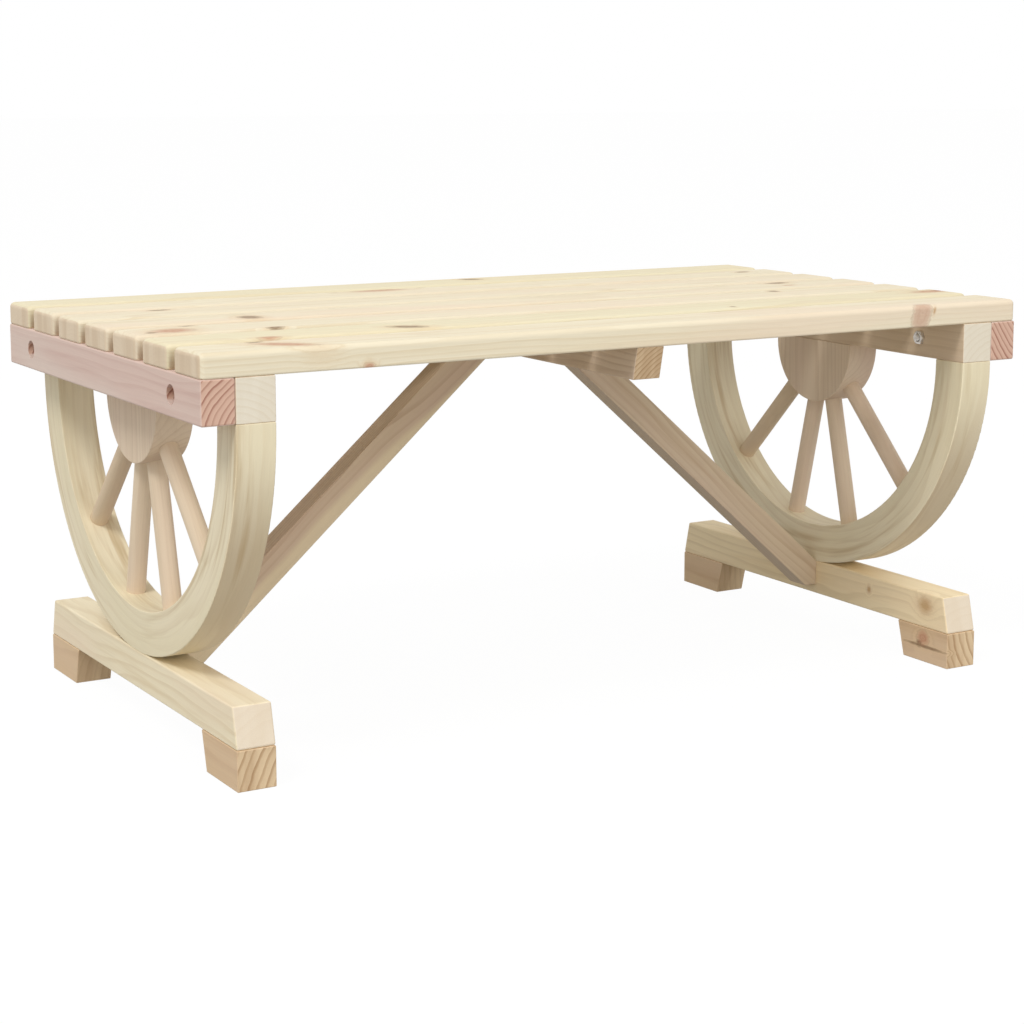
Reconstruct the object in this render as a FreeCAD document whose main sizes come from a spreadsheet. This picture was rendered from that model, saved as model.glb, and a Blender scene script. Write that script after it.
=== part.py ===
import FreeCAD, Part
import math
import os
import Sketcher

from FreeCAD import Rotation, Vector

# A coffee table whose two ends stand on half wagon wheels. Millimetres, +Z up, +X along the top,
# the origin on the floor under the middle of the table.

SIZES = {
    # Top: slats along X
    "table_length": 900,
    "table_width": 500,
    "slat_count": 7,
    "slat_width": 59,
    "slat_thickness": 22,
    "slat_round": 5,
    # Rails across the ends and the middle
    "rail_height": 40,
    "end_rail_width": 31.5,
    "crossbar_width": 37,
    "middle_rail_width": 30,
    "middle_rail_height": 31,
    "middle_rail_setback": 1.5,
    "middle_rail_bevel": 7,
    # Half wheels
    "wheel_radius": 245,
    "wheel_rise": 4.5,
    "wheel_thickness": 37,
    "rim_depth": 41.5,
    "rim_flat": 1,
    "hub_radius": 64.5,
    "spoke_diameter": 18.5,
    "inner_spoke_angle": 13.5,
    "outer_spoke_angle": 45,
    "spoke_tenon": 20,
    "glue_fit": 0.2,
    # Base
    "beam_length": 478,
    "beam_width": 37,
    "beam_height": 37.5,
    "beam_bevel": 9,
    "foot_length": 79,
    "foot_slant": 10,
    "foot_height": 37,
    # Braces
    "brace_width": 28,
    "brace_depth": 30,
    "brace_heel": 6.5,
    "brace_toe_cut": 13,
    "brace_grip": 16,
    "dowel_diameter": 8,
    "dowel_length": 36,
    # Eased edges of the timber, and rounder ones on end rails, base beams and under the slats
    "edge_ease": 1,
    "plank_round": 2,
    # Bolts, with washers under their heads and thin nuts
    "bolt_diameter": 8,
    "bolt_play": 0.4,
    "bolt_head_diameter": 13,
    "bolt_head_height": 6,
    "bolt_socket": 6,
    "bolt_end": 0.9,
    "bore_diameter": 18,
    "bore_depth": 20,
    "washer_diameter": 16,
    "washer_thickness": 1.6,
    "nut_across_flats": 13,
    "nut_height": 4,
    # Wood screws
    "screw_diameter": 4.5,
    "screw_fit": 0.2,
    "screw_head_diameter": 8.5,
    "screw_head_height": 3,
    "screw_point": 6,
    "screw_recess": 8,
    "slat_bite": 14,
    "frame_bite": 25,
    "foot_screw_edge": 22,
    "hub_screw_edge": 23,
    "rim_screw_edge": 8,
}

PLACES = {
    # Heights
    "beam_top": "Sizes.foot_height + Sizes.beam_height",
    "wheel_level": "Places.beam_top + Sizes.wheel_radius - Sizes.rim_flat",
    "rail_bottom": "Places.wheel_level + Sizes.wheel_rise",
    "slat_bottom": "Places.rail_bottom + Sizes.rail_height",
    "bolt_level": "Places.rail_bottom + Sizes.rail_height / 2",
    # Stations along X
    "rail_face": "Sizes.table_length / 2",
    "crossbar_face": "Places.rail_face - Sizes.end_rail_width",
    "wheel_plane": "Places.crossbar_face - Sizes.crossbar_width / 2",
    "beam_inside": "Places.wheel_plane - Sizes.beam_width / 2",
    "rail_plane": "Places.rail_face - Sizes.end_rail_width / 2",
    # Stations along Y: the rims end flush with the crossbars at the front
    "wheel_line": "Sizes.wheel_radius - Sizes.table_width / 2",
    "slat_pitch": "(Sizes.table_width - Sizes.slat_width) / (Sizes.slat_count - 1)",
    "first_slat": "-Places.slat_pitch * (Sizes.slat_count - 1) / 2",
    "bolt_station": "Places.slat_pitch * (Sizes.slat_count / 2 - 1)",
    "middle_rail_end": "Sizes.table_width / 2 - Sizes.middle_rail_setback",
    "rim_station": "Sizes.wheel_radius - Sizes.rim_depth / 2",
    "hub_station": "Sizes.hub_radius - Sizes.hub_screw_edge",
    "flat_half": "sqrt(2 * Sizes.wheel_radius * Sizes.rim_flat - Sizes.rim_flat ^ 2)",
    "beam_station": "Places.flat_half - Sizes.rim_screw_edge",
    "foot_outside": "Sizes.beam_length / 2",
    "foot_inside": "Places.foot_outside - Sizes.foot_length",
    # Wheel
    "rim_inside": "Sizes.wheel_radius - Sizes.rim_depth",
    "flat_level": "Sizes.wheel_radius - Sizes.rim_flat",
    "spoke_start": "Sizes.hub_radius - Sizes.spoke_tenon",
    "spoke_length": "Places.rim_inside + Sizes.spoke_tenon - Places.spoke_start",
    "mortise_diameter": "Sizes.spoke_diameter + Sizes.glue_fit",
    # Brace: its upper edge meets the inner top edge of the base beam, its heel butts the middle rail
    "brace_start": "Sizes.middle_rail_width / 2",
    "brace_span": "Places.beam_inside - Places.brace_start",
    "heel_level": "Places.slat_bottom - Sizes.brace_heel",
    "heel_rise": "Places.heel_level - Places.beam_top",
    "brace_line": "sqrt(Places.brace_span ^ 2 + Places.heel_rise ^ 2 - Sizes.brace_depth ^ 2)",
    "brace_slope": "(Places.brace_span * Places.heel_rise + Sizes.brace_depth * Places.brace_line)"
                   " / (Places.brace_span ^ 2 - Sizes.brace_depth ^ 2)",
    "brace_drop": "Sizes.brace_depth * sqrt(1 + Places.brace_slope ^ 2)",
    "brace_reach": "Places.beam_inside - (Places.slat_bottom - Places.beam_top) / Places.brace_slope",
    "toe_level": "Places.beam_top - Places.brace_drop + Sizes.brace_toe_cut",
    "toe_station": "Places.beam_inside - Sizes.brace_toe_cut / Places.brace_slope",
    "dowel_level": "(Places.beam_top + Places.toe_level) / 2",
    "dowel_hole": "Sizes.dowel_diameter + Sizes.glue_fit",
    "dowel_bite": "Sizes.dowel_length / 2",
    "brace_screw_station": "(Places.brace_start + Places.brace_reach) / 2",
    # Screws and bolts
    "bolt_hole": "Sizes.bolt_diameter + Sizes.bolt_play",
    "bolt_grip": "Sizes.end_rail_width - Sizes.bore_depth + Sizes.crossbar_width",
    "screw_hole": "Sizes.screw_diameter + Sizes.screw_fit",
    "screw_bore": "Sizes.screw_head_diameter + Sizes.screw_fit",
    "rail_grip": "Sizes.rail_height - Sizes.screw_recess",
    "middle_rail_grip": "Sizes.middle_rail_height - Sizes.screw_recess",
    "beam_grip": "Sizes.beam_height - Sizes.screw_recess",
    "foot_grip": "Sizes.foot_height - Sizes.screw_recess",
}

UP = Rotation()
DOWN = Rotation(Vector(1, 0, 0), 180)
OUTWARD = Rotation(Vector(0, 1, 0), 90)
INWARD = Rotation(Vector(0, 1, 0), -90)
HALF_TURN = Rotation(Vector(0, 0, 1), 180)
ENDS = {"left": -1, "right": 1}
SIDES = {"front": -1, "back": 1}

doc = FreeCAD.newDocument("coffee_table")
sheet = doc.addObject("Spreadsheet::Sheet", "Sizes")
for row, (name, value) in enumerate(SIZES.items(), start=1):
    sheet.set(f"A{row}", name)
    sheet.set(f"B{row}", str(value))
    sheet.setAlias(f"B{row}", name)
doc.recompute()

places = doc.addObject("App::VarSet", "Places")
for name, formula in PLACES.items():
    places.addProperty("App::PropertyFloat", name, "Places")
    places.setExpression(name, formula)
doc.recompute()

nodes = []


def size(name):
    """The number in one of the sheet's cells."""
    return float(sheet.get(name))


def keep(piece, label):
    """Name a finished piece and put it on the list of pieces to write."""
    piece.Label = label
    nodes.append(piece)
    return piece


def place(piece, x="0", y="0", z="0", turn=None):
    """Stand a piece at a station given by three formulas, turned if need be."""
    if turn is not None:
        piece.Placement = FreeCAD.Placement(Vector(), turn)
    for axis, formula in (("x", x), ("y", y), ("z", z)):
        piece.setExpression(f"Placement.Base.{axis}", formula)
    return piece


def place_at_end(piece, end, station, z, y="0"):
    """Stand a piece of an end frame, modelled with +X outward, at the left or the right end."""
    sign = ENDS[end]
    turn = HALF_TURN if sign < 0 else None
    return place(piece, f"{sign} * {station}", y, z, turn)


def beside_wheel_line(end, side, station):
    """Where a hole beside the wheel's middle line lies in a piece of an end frame."""
    return f"{ENDS[end]} * Places.wheel_line + {side} * {station}"


def outline(body, role):
    """An empty sketch on one of the body's own origin planes."""
    plane = next(feature for feature in body.Origin.OriginFeatures if feature.Role == role)
    sketch = body.newObject("Sketcher::SketchObject", f"{body.Name}_outline")
    sketch.AttachmentSupport = [(plane, "")]
    sketch.MapMode = "FlatFace"
    return sketch


def pin_point(sketch, curve, end, x, y):
    """Hold one end of a curve at a place given by two formulas."""
    for kind, formula, axis in (("DistanceX", x, -2), ("DistanceY", y, -1)):
        if formula == "0":
            sketch.addConstraint(Sketcher.Constraint("PointOnObject", curve, end, axis))
            continue
        index = sketch.addConstraint(Sketcher.Constraint(kind, -1, 1, curve, end, size("wheel_radius")))
        sketch.setExpression(f"Constraints[{index}]", formula)


def draw_polygon(sketch, corners):
    """A closed outline of straight lines through corners given as pairs of formulas."""
    count = len(corners)
    radius = size("wheel_radius")
    rough = []
    for index in range(count):
        angle = 2 * math.pi * index / count
        rough.append(Vector(radius * math.cos(angle), radius * math.sin(angle), 0))
    for index in range(count):
        sketch.addGeometry(Part.LineSegment(rough[index], rough[(index + 1) % count]))
    for index in range(count):
        sketch.addConstraint(Sketcher.Constraint("Coincident", index, 2, (index + 1) % count, 1))
    for index, (x, y) in enumerate(corners):
        pin_point(sketch, index, 1, x, y)


def draw_half_round(sketch, formula, rough_radius):
    """A lower half circle about the sketch's origin, with its ends on the horizontal axis."""
    circle = Part.Circle(Vector(), Vector(0, 0, 1), rough_radius)
    arc = sketch.addGeometry(Part.ArcOfCircle(circle, math.pi, 2 * math.pi))
    sketch.addConstraint(Sketcher.Constraint("Coincident", arc, 3, -1, 1))
    sketch.addConstraint(Sketcher.Constraint("PointOnObject", arc, 1, -1))
    sketch.addConstraint(Sketcher.Constraint("PointOnObject", arc, 2, -1))
    index = sketch.addConstraint(Sketcher.Constraint("Radius", arc, circle.Radius))
    sketch.setExpression(f"Constraints[{index}]", formula)
    return arc


def join_ends(sketch, first, first_end, second, second_end):
    """Straight runs up from the ends of two curves, and a level line between their tops."""
    rise = Vector(0, size("wheel_rise"), 0)
    tops = []
    for curve, end in ((first, first_end), (second, second_end)):
        foot = sketch.getPoint(curve, end)
        run = sketch.addGeometry(Part.LineSegment(foot, foot + rise))
        sketch.addConstraint(Sketcher.Constraint("Coincident", run, 1, curve, end))
        sketch.addConstraint(Sketcher.Constraint("Vertical", run))
        index = sketch.addConstraint(Sketcher.Constraint("DistanceY", run, 1, run, 2, rise.y))
        sketch.setExpression(f"Constraints[{index}]", "Sizes.wheel_rise")
        tops.append(run)
    ends = [sketch.getPoint(run, 2) for run in tops]
    line = sketch.addGeometry(Part.LineSegment(*ends))
    for number, run in enumerate(tops, start=1):
        sketch.addConstraint(Sketcher.Constraint("Coincident", line, number, run, 2))


def pad(body, sketch, length):
    """Pad an outline evenly to both sides of its plane."""
    feature = body.newObject("PartDesign::Pad", f"{body.Name}_pad")
    feature.Profile = sketch
    feature.SideType = "Symmetric"
    feature.setExpression("Length", length)
    doc.recompute()
    return feature


def ease(body, base, radius="Sizes.edge_ease", wanted=None):
    """Round the edges of a body, all of them or those that the wanted test picks."""
    feature = body.newObject("PartDesign::Fillet", f"{body.Name}_ease")
    names = []
    for number, edge in enumerate(base.Shape.Edges, start=1):
        if wanted is None or wanted(edge):
            names.append(f"Edge{number}")
    feature.Base = (base, names)
    feature.setExpression("Radius", radius)
    doc.recompute()
    return feature


def bar(label, role, corners, length, radius="Sizes.edge_ease"):
    """A length of timber: an outline padded to both sides, with eased edges."""
    body = doc.addObject("PartDesign::Body", label)
    sketch = outline(body, role)
    draw_polygon(sketch, corners)
    ease(body, pad(body, sketch, length), radius)
    return body


def rectangle(width, height):
    """Corners of a rectangle that stands on the horizontal axis, centred."""
    half = f"{width} / 2"
    return [(f"-{half}", "0"), (half, "0"), (half, height), (f"-{half}", height)]


def hole(diameter, depth, x, y, z, turn):
    """A drill's path: a cylinder that starts at a place and runs the way it is turned."""
    cylinder = doc.addObject("Part::Cylinder", "drill")
    cylinder.setExpression("Radius", f"{diameter} / 2")
    cylinder.setExpression("Height", depth)
    return place(cylinder, x, y, z, turn)


def drilled(blank, label, holes):
    """The blank with its holes cut."""
    drills = doc.addObject("Part::MultiFuse", f"{label}_drills")
    drills.Shapes = holes
    cut = doc.addObject("Part::Cut", f"{label}_drilled")
    blank.Label = f"{label}_blank"
    cut.Base = blank
    cut.Tool = drills
    return keep(cut, label)


def screw_holes(x, y, z, turn, grip, bore):
    """Shank hole and head bore of one screw that runs up or down to a joint at a place."""
    if turn == UP:
        seat, back = f"{z} - {grip}", DOWN
    else:
        seat, back = f"{z} + {grip}", UP
    shank = hole("Places.screw_hole", grip, x, y, seat, turn)
    head = hole("Places.screw_bore", bore, x, y, seat, back)
    return [shank, head]


def slat_stations():
    """Formulas for the slats' middle lines, front to back."""
    count = int(size("slat_count"))
    return [f"Places.first_slat + {index} * Places.slat_pitch" for index in range(count)]


SCREW_BORE = "Sizes.screw_recess"
OPEN_BORE = "Sizes.brace_depth * 2"


def make_slat(number, station):
    """One slat, rounded along its top edges and at its corners, and the holes that its screws bite into."""
    label = f"top_slat_{number}"
    body = doc.addObject("PartDesign::Body", label)
    sketch = outline(body, "YZ_Plane")
    draw_polygon(sketch, rectangle("Sizes.slat_width", "Sizes.slat_thickness"))
    blank = pad(body, sketch, "Sizes.table_length")

    def above(edge):
        return edge.CenterOfMass.z > 0.01

    def under(edge):
        return not above(edge)

    rounded = ease(body, blank, "Sizes.slat_round", above)
    ease(body, rounded, "Sizes.plank_round", under)
    stations = [("-Places.rail_plane", "0"), ("0", "0"), ("Places.rail_plane", "0")]
    if 2 * number == size("slat_count") + 1:
        stations += [(f"{sign} * Places.brace_screw_station", "Places.wheel_line") for sign in ENDS.values()]
    holes = [hole("Places.screw_hole", "Sizes.slat_bite", x, y, "0", UP) for x, y in stations]
    slat = drilled(body, label, holes)
    place(slat, "0", station, "Places.slat_bottom")


def make_end_rail(end):
    """An end rail: bolt holes with bores in its outer face, slat screws from below."""
    label = f"{end}_end_rail"
    blank = bar(f"{end}_rail_bar", "XZ_Plane", rectangle("Sizes.end_rail_width", "Sizes.rail_height"),
                "Sizes.table_width", "Sizes.plank_round")
    holes = []
    for side in SIDES.values():
        y = f"{side} * Places.bolt_station"
        middle = "Sizes.rail_height / 2"
        holes.append(hole("Places.bolt_hole", "Sizes.end_rail_width", "-Sizes.end_rail_width / 2", y, middle,
                          OUTWARD))
        holes.append(hole("Sizes.bore_diameter", "Sizes.bore_depth",
                          "Sizes.end_rail_width / 2 - Sizes.bore_depth", y, middle, OUTWARD))
    for station in slat_stations():
        holes += screw_holes("0", station, "Sizes.rail_height", UP, "Places.rail_grip", SCREW_BORE)
    place_at_end(drilled(blank, label, holes), end, "Places.rail_plane", "Places.rail_bottom")


def make_crossbar(end):
    """The bar that carries a half wheel: bolt holes across it, wheel screws down through it."""
    label = f"{end}_crossbar"
    blank = bar(f"{end}_crossbar_bar", "XZ_Plane", rectangle("Sizes.crossbar_width", "Sizes.rail_height"),
                "Sizes.table_width")
    holes = []
    for side in SIDES.values():
        holes.append(hole("Places.bolt_hole", "Sizes.crossbar_width", "-Sizes.crossbar_width / 2",
                          f"{side} * Places.bolt_station", "Sizes.rail_height / 2", OUTWARD))
        for station in ("Places.rim_station", "Places.hub_station"):
            holes += screw_holes("0", beside_wheel_line(end, side, station), "0", DOWN, "Places.rail_grip",
                                 SCREW_BORE)
    place_at_end(drilled(blank, label, holes), end, "Places.wheel_plane", "Places.rail_bottom")


def spoke_angles():
    """Signed angle formulas of the four spokes, front to back, from straight down."""
    outer, inner = "Sizes.outer_spoke_angle", "Sizes.inner_spoke_angle"
    return [f"-{outer}", f"-{inner}", inner, outer]


def along_spoke(cylinder, angle, distance):
    """Lay a cylinder along a spoke, starting at a distance from the middle of the wheel."""
    cylinder.Placement = FreeCAD.Placement(Vector(), Rotation(Vector(1, 0, 0), 90))
    cylinder.setExpression("Placement.Rotation.Angle", f"180 + {angle}")
    cylinder.setExpression("Placement.Base.y", f"{distance} * sin({angle})")
    cylinder.setExpression("Placement.Base.z", f"-{distance} * cos({angle})")
    return cylinder


def spoke_hole(angle, distance):
    """A blind hole for one spoke end."""
    cylinder = doc.addObject("Part::Cylinder", "drill")
    cylinder.setExpression("Radius", "Places.mortise_diameter / 2")
    cylinder.setExpression("Height", "Places.spoke_length")
    return along_spoke(cylinder, angle, distance)


def make_rim(end):
    """A half ring with straight tops, flattened where it stands on its base beam."""
    label = f"{end}_wheel_rim"
    body = doc.addObject("PartDesign::Body", f"{end}_rim_ring")
    sketch = outline(body, "YZ_Plane")
    outer = draw_half_round(sketch, "Sizes.wheel_radius", size("wheel_radius"))
    inner = draw_half_round(sketch, "Places.rim_inside", places.rim_inside)
    join_ends(sketch, outer, 1, inner, 1)
    join_ends(sketch, outer, 2, inner, 2)
    ease(body, pad(body, sketch, "Sizes.wheel_thickness"))
    seat = doc.addObject("Part::Box", f"{end}_rim_seat")
    seat.setExpression("Length", "Sizes.wheel_thickness * 2")
    seat.setExpression("Width", "Sizes.wheel_radius")
    seat.setExpression("Height", "Sizes.rim_depth")
    place(seat, "-Sizes.wheel_thickness", "-Sizes.wheel_radius / 2", "-Places.flat_level - Sizes.rim_depth")
    cuts = [seat]
    for angle in spoke_angles():
        cuts.append(spoke_hole(angle, "Places.spoke_start"))
    for side in SIDES.values():
        top, foot = f"{side} * Places.rim_station", f"{side} * Places.beam_station"
        cuts.append(hole("Places.screw_hole", "Sizes.frame_bite", "0", top, "Sizes.wheel_rise", DOWN))
        cuts.append(hole("Places.screw_hole", "Sizes.frame_bite", "0", foot, "-Places.flat_level", UP))
    rim = drilled(body, label, cuts)
    place_at_end(rim, end, "Places.wheel_plane", "Places.wheel_level", "Places.wheel_line")


def make_hub(end):
    """A half disc with a straight top, which the spokes start from."""
    label = f"{end}_wheel_hub"
    body = doc.addObject("PartDesign::Body", f"{end}_hub_disc")
    sketch = outline(body, "YZ_Plane")
    arc = draw_half_round(sketch, "Sizes.hub_radius", size("hub_radius"))
    join_ends(sketch, arc, 2, arc, 1)
    ease(body, pad(body, sketch, "Sizes.wheel_thickness"))
    holes = [spoke_hole(angle, "Places.spoke_start") for angle in spoke_angles()]
    for side in SIDES.values():
        station = f"{side} * Places.hub_station"
        holes.append(hole("Places.screw_hole", "Sizes.frame_bite", "0", station, "Sizes.wheel_rise", DOWN))
    hub = drilled(body, label, holes)
    place_at_end(hub, end, "Places.wheel_plane", "Places.wheel_level", "Places.wheel_line")


def make_spokes(end):
    """Four round spokes, each from its hole in the hub to its hole in the rim."""
    for number, angle in enumerate(spoke_angles(), start=1):
        spoke = doc.addObject("Part::Cylinder", f"{end}_spoke")
        spoke.setExpression("Radius", "Sizes.spoke_diameter / 2")
        spoke.setExpression("Height", "Places.spoke_length")
        along_spoke(spoke, angle, "Places.spoke_start")
        across, down = f"Places.spoke_start * sin({angle})", f"Places.spoke_start * cos({angle})"
        place(spoke, f"{ENDS[end]} * Places.wheel_plane", f"Places.wheel_line + {across}",
              f"Places.wheel_level - {down}")
        keep(spoke, f"{end}_spoke_{number}")


def make_base_beam(end):
    """The beam that a rim stands on, with ends that slope back towards the top."""
    label = f"{end}_base_beam"
    low = "Places.foot_outside"
    high = "(Places.foot_outside - Sizes.beam_bevel)"
    corners = [(f"-{low}", "0"), (low, "0"), (high, "Sizes.beam_height"), (f"-{high}", "Sizes.beam_height")]
    blank = bar(f"{end}_beam_bar", "YZ_Plane", corners, "Sizes.beam_width", "Sizes.plank_round")
    holes = [hole("Places.dowel_hole", "Places.dowel_bite", "-Sizes.beam_width / 2",
                  f"{ENDS[end]} * Places.wheel_line", "Places.dowel_level - Sizes.foot_height", OUTWARD)]
    for side in SIDES.values():
        station = beside_wheel_line(end, side, "Places.beam_station")
        holes += screw_holes("0", station, "Sizes.beam_height", UP, "Places.beam_grip", SCREW_BORE)
        for station in foot_screw_stations():
            holes.append(hole("Places.screw_hole", "Sizes.frame_bite", "0", f"{side} * ({station})", "0", UP))
    place_at_end(drilled(blank, label, holes), end, "Places.wheel_plane", "Sizes.foot_height")


def foot_screw_stations():
    """Formulas for the two screws of a foot, as distances from the middle of the beam."""
    return ["Places.foot_outside - Sizes.foot_screw_edge",
            "Places.foot_inside + Sizes.foot_slant + Sizes.foot_screw_edge"]


def make_foot(end, side):
    """A foot under one end of a base beam, with a slanted inner end."""
    label = f"{end}_{side}_foot"
    sign = SIDES[side]
    outside = f"{sign} * Places.foot_outside"
    corners = [(outside, "0"), (outside, "Sizes.foot_height"),
               (f"{sign} * Places.foot_inside", "Sizes.foot_height"),
               (f"{sign} * (Places.foot_inside + Sizes.foot_slant)", "0")]
    blank = bar(f"{end}_{side}_foot_bar", "YZ_Plane", corners, "Sizes.beam_width")
    holes = []
    for station in foot_screw_stations():
        holes += screw_holes("0", f"{sign} * ({station})", "Sizes.foot_height", UP, "Places.foot_grip",
                             SCREW_BORE)
    foot = drilled(blank, label, holes)
    place(foot, f"{ENDS[end]} * Places.wheel_plane")


def make_middle_rail():
    """The rail across the middle of the slats, with ends that slope back towards the floor."""
    high = "Places.middle_rail_end"
    low = f"({high} - Sizes.middle_rail_bevel)"
    level = "Sizes.middle_rail_height"
    corners = [(f"-{low}", "0"), (low, "0"), (high, level), (f"-{high}", level)]
    blank = bar("middle_rail_bar", "YZ_Plane", corners, "Sizes.middle_rail_width")
    holes = []
    for station in slat_stations():
        holes += screw_holes("0", station, "Sizes.middle_rail_height", UP, "Places.middle_rail_grip",
                             SCREW_BORE)
    rail = drilled(blank, "middle_rail", holes)
    place(rail, "0", "0", "Places.slat_bottom - Sizes.middle_rail_height")


def make_brace(end):
    """A diagonal from the inner face of a base beam to the middle slat and the middle rail."""
    label = f"{end}_brace"
    corners = [("Places.brace_start", "Places.slat_bottom"), ("Places.brace_reach", "Places.slat_bottom"),
               ("Places.beam_inside", "Places.beam_top"), ("Places.beam_inside", "Places.toe_level"),
               ("Places.toe_station", "Places.toe_level"), ("Places.brace_start", "Places.heel_level")]
    blank = bar(f"{end}_brace_bar", "XZ_Plane", corners, "Sizes.brace_width")
    holes = [hole("Places.dowel_hole", "Places.dowel_bite", "Places.beam_inside - Places.dowel_bite", "0",
                  "Places.dowel_level", OUTWARD)]
    holes += screw_holes("Places.brace_screw_station", "0", "Places.slat_bottom", UP, "Sizes.brace_grip",
                         OPEN_BORE)
    brace = drilled(blank, label, holes)
    place(brace, y="Places.wheel_line", turn=HALF_TURN if ENDS[end] < 0 else None)


def keep_group(label, solids):
    """One node of like fasteners, each a separate solid."""
    group = doc.addObject("Part::Feature", label)
    group.Shape = Part.makeCompound(solids)
    keep(group, label)


def turned(outline_points):
    """A solid of revolution about Z from radius and height pairs that start and end on the axis."""
    points = [Vector(radius, 0, height) for radius, height in outline_points]
    wire = Part.makePolygon(points + points[:1])
    return Part.Face(wire).revolve(Vector(), Vector(0, 0, 1), 360)


def standing(solid, position, turn):
    """A copy of a fastener moved to its place."""
    copy = solid.copy()
    copy.Placement = FreeCAD.Placement(position, turn)
    return copy


def make_screw(grip, bite):
    """A pan head screw along +Z with its head seated at zero and its joint a grip further on."""
    head = size("screw_head_diameter") / 2
    shank = size("screw_diameter") / 2
    tip = grip + bite
    point = min(size("screw_point"), tip / 2)
    return turned([(0, -size("screw_head_height")), (head, -size("screw_head_height")), (head, 0), (shank, 0),
                   (shank, tip - point), (0, tip)])


def make_screws(label, grip, bite, joints):
    """A group of equal screws from the points and directions of their joints."""
    screw = make_screw(grip, bite)
    solids = []
    for joint, turn in joints:
        solids.append(standing(screw, joint - turn.multVec(Vector(0, 0, grip)), turn))
    keep_group(label, solids)


def make_slat_screws():
    """Screws up into every slat, through both end rails and through the middle rail."""
    count = int(size("slat_count"))
    lines = [places.first_slat + index * places.slat_pitch for index in range(count)]
    ends = [sign * places.rail_plane for sign in ENDS.values()]
    joints = [(Vector(x, y, places.slat_bottom), UP) for x in ends for y in lines]
    make_screws("end_rail_screws", places.rail_grip, size("slat_bite"), joints)
    joints = [(Vector(0, y, places.slat_bottom), UP) for y in lines]
    make_screws("middle_rail_screws", places.middle_rail_grip, size("slat_bite"), joints)


def make_wheel_screws():
    """Screws down through the crossbars into rims and hubs, and up through the base beams into the rims."""
    bite = size("frame_bite")
    ends = [sign * places.wheel_plane for sign in ENDS.values()]
    groups = (("rim_screws", places.rim_station, places.rail_bottom, DOWN, places.rail_grip),
              ("hub_screws", places.hub_station, places.rail_bottom, DOWN, places.rail_grip),
              ("beam_screws", places.beam_station, places.beam_top, UP, places.beam_grip))
    for label, station, level, turn, grip in groups:
        lines = [places.wheel_line + sign * station for sign in SIDES.values()]
        joints = [(Vector(x, y, level), turn) for x in ends for y in lines]
        make_screws(label, grip, bite, joints)


def make_foot_screws():
    """Two screws up through each foot into its base beam."""
    near_end = places.foot_outside - size("foot_screw_edge")
    near_slant = places.foot_inside + size("foot_slant") + size("foot_screw_edge")
    joints = []
    for end in ENDS.values():
        for side in SIDES.values():
            for station in (near_end, near_slant):
                joints.append((Vector(end * places.wheel_plane, side * station, size("foot_height")), UP))
    make_screws("foot_screws", places.foot_grip, size("frame_bite"), joints)


def make_brace_fasteners():
    """A dowel from each brace into its base beam, and a screw up from its top end into the middle slat."""
    line = places.wheel_line
    dowel = Part.makeCylinder(size("dowel_diameter") / 2, size("dowel_length"))
    dowels, joints = [], []
    for sign in ENDS.values():
        start = Vector(sign * places.beam_inside - places.dowel_bite, line, places.dowel_level)
        dowels.append(standing(dowel, start, OUTWARD))
        joints.append((Vector(sign * places.brace_screw_station, line, places.slat_bottom), UP))
    keep_group("brace_dowels", dowels)
    make_screws("brace_screws", size("brace_grip"), size("slat_bite"), joints)


def hexagon_prism(across_flats, height):
    """A hexagonal prism that stands on the XY plane, with two of its corners along Y."""
    corner = across_flats / math.sqrt(3)
    points = []
    for index in range(6):
        angle = math.pi * (index + 0.5) / 3
        points.append(Vector(corner * math.cos(angle), corner * math.sin(angle), 0))
    return Part.Face(Part.makePolygon(points + points[:1])).extrude(Vector(0, 0, height))


def make_bolts():
    """Bolts from the bores of the end rails through the crossbars, with their washers and thin nuts."""
    shank = size("bolt_diameter") / 2
    washer = size("washer_thickness")
    nut = size("nut_height")
    head = size("bolt_head_height")
    head_radius = size("bolt_head_diameter") / 2
    grip = places.bolt_grip
    tip = washer + grip + nut + size("bolt_end")
    bolt = turned([(0, -head), (head_radius, -head), (head_radius, 0), (shank, 0), (shank, tip), (0, tip)])
    socket = hexagon_prism(size("bolt_socket"), head / 2)
    bolt = bolt.cut(standing(socket, Vector(0, 0, -head), UP))
    hole_radius = places.bolt_hole / 2
    disc = Part.makeCylinder(size("washer_diameter") / 2, washer)
    disc = disc.cut(Part.makeCylinder(hole_radius, washer))
    hexagon = hexagon_prism(size("nut_across_flats"), nut)
    hexagon = hexagon.cut(Part.makeCylinder(hole_radius, nut))
    bolts, washers, nuts = [], [], []
    for end in ENDS.values():
        turn = INWARD if end > 0 else OUTWARD
        for side in SIDES.values():
            face = Vector(end * (places.rail_face - size("bore_depth")), side * places.bolt_station,
                          places.bolt_level)
            step = turn.multVec(Vector(0, 0, 1))
            bolts.append(standing(bolt, face - step * washer, turn))
            washers.append(standing(disc, face - step * washer, turn))
            nuts.append(standing(hexagon, face + step * grip, turn))
    keep_group("frame_bolts", bolts)
    keep_group("bolt_washers", washers)
    keep_group("frame_nuts", nuts)


for slat_number, slat_station in enumerate(slat_stations(), start=1):
    make_slat(slat_number, slat_station)
for end_name in ENDS:
    make_end_rail(end_name)
    make_crossbar(end_name)
    make_rim(end_name)
    make_hub(end_name)
    make_spokes(end_name)
    make_base_beam(end_name)
    for side_name in SIDES:
        make_foot(end_name, side_name)
    make_brace(end_name)
make_middle_rail()
make_slat_screws()
make_wheel_screws()
make_foot_screws()
make_brace_fasteners()
make_bolts()
doc.recompute()

for item in doc.Objects:
    if "Invalid" in item.State or "Error" in item.State:
        raise RuntimeError(f"{item.Label} failed: {item.State}")
for node in nodes:
    if node.Shape.isNull() or not node.Shape.isValid():
        raise RuntimeError(f"{node.Label} has no valid shape")

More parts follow.
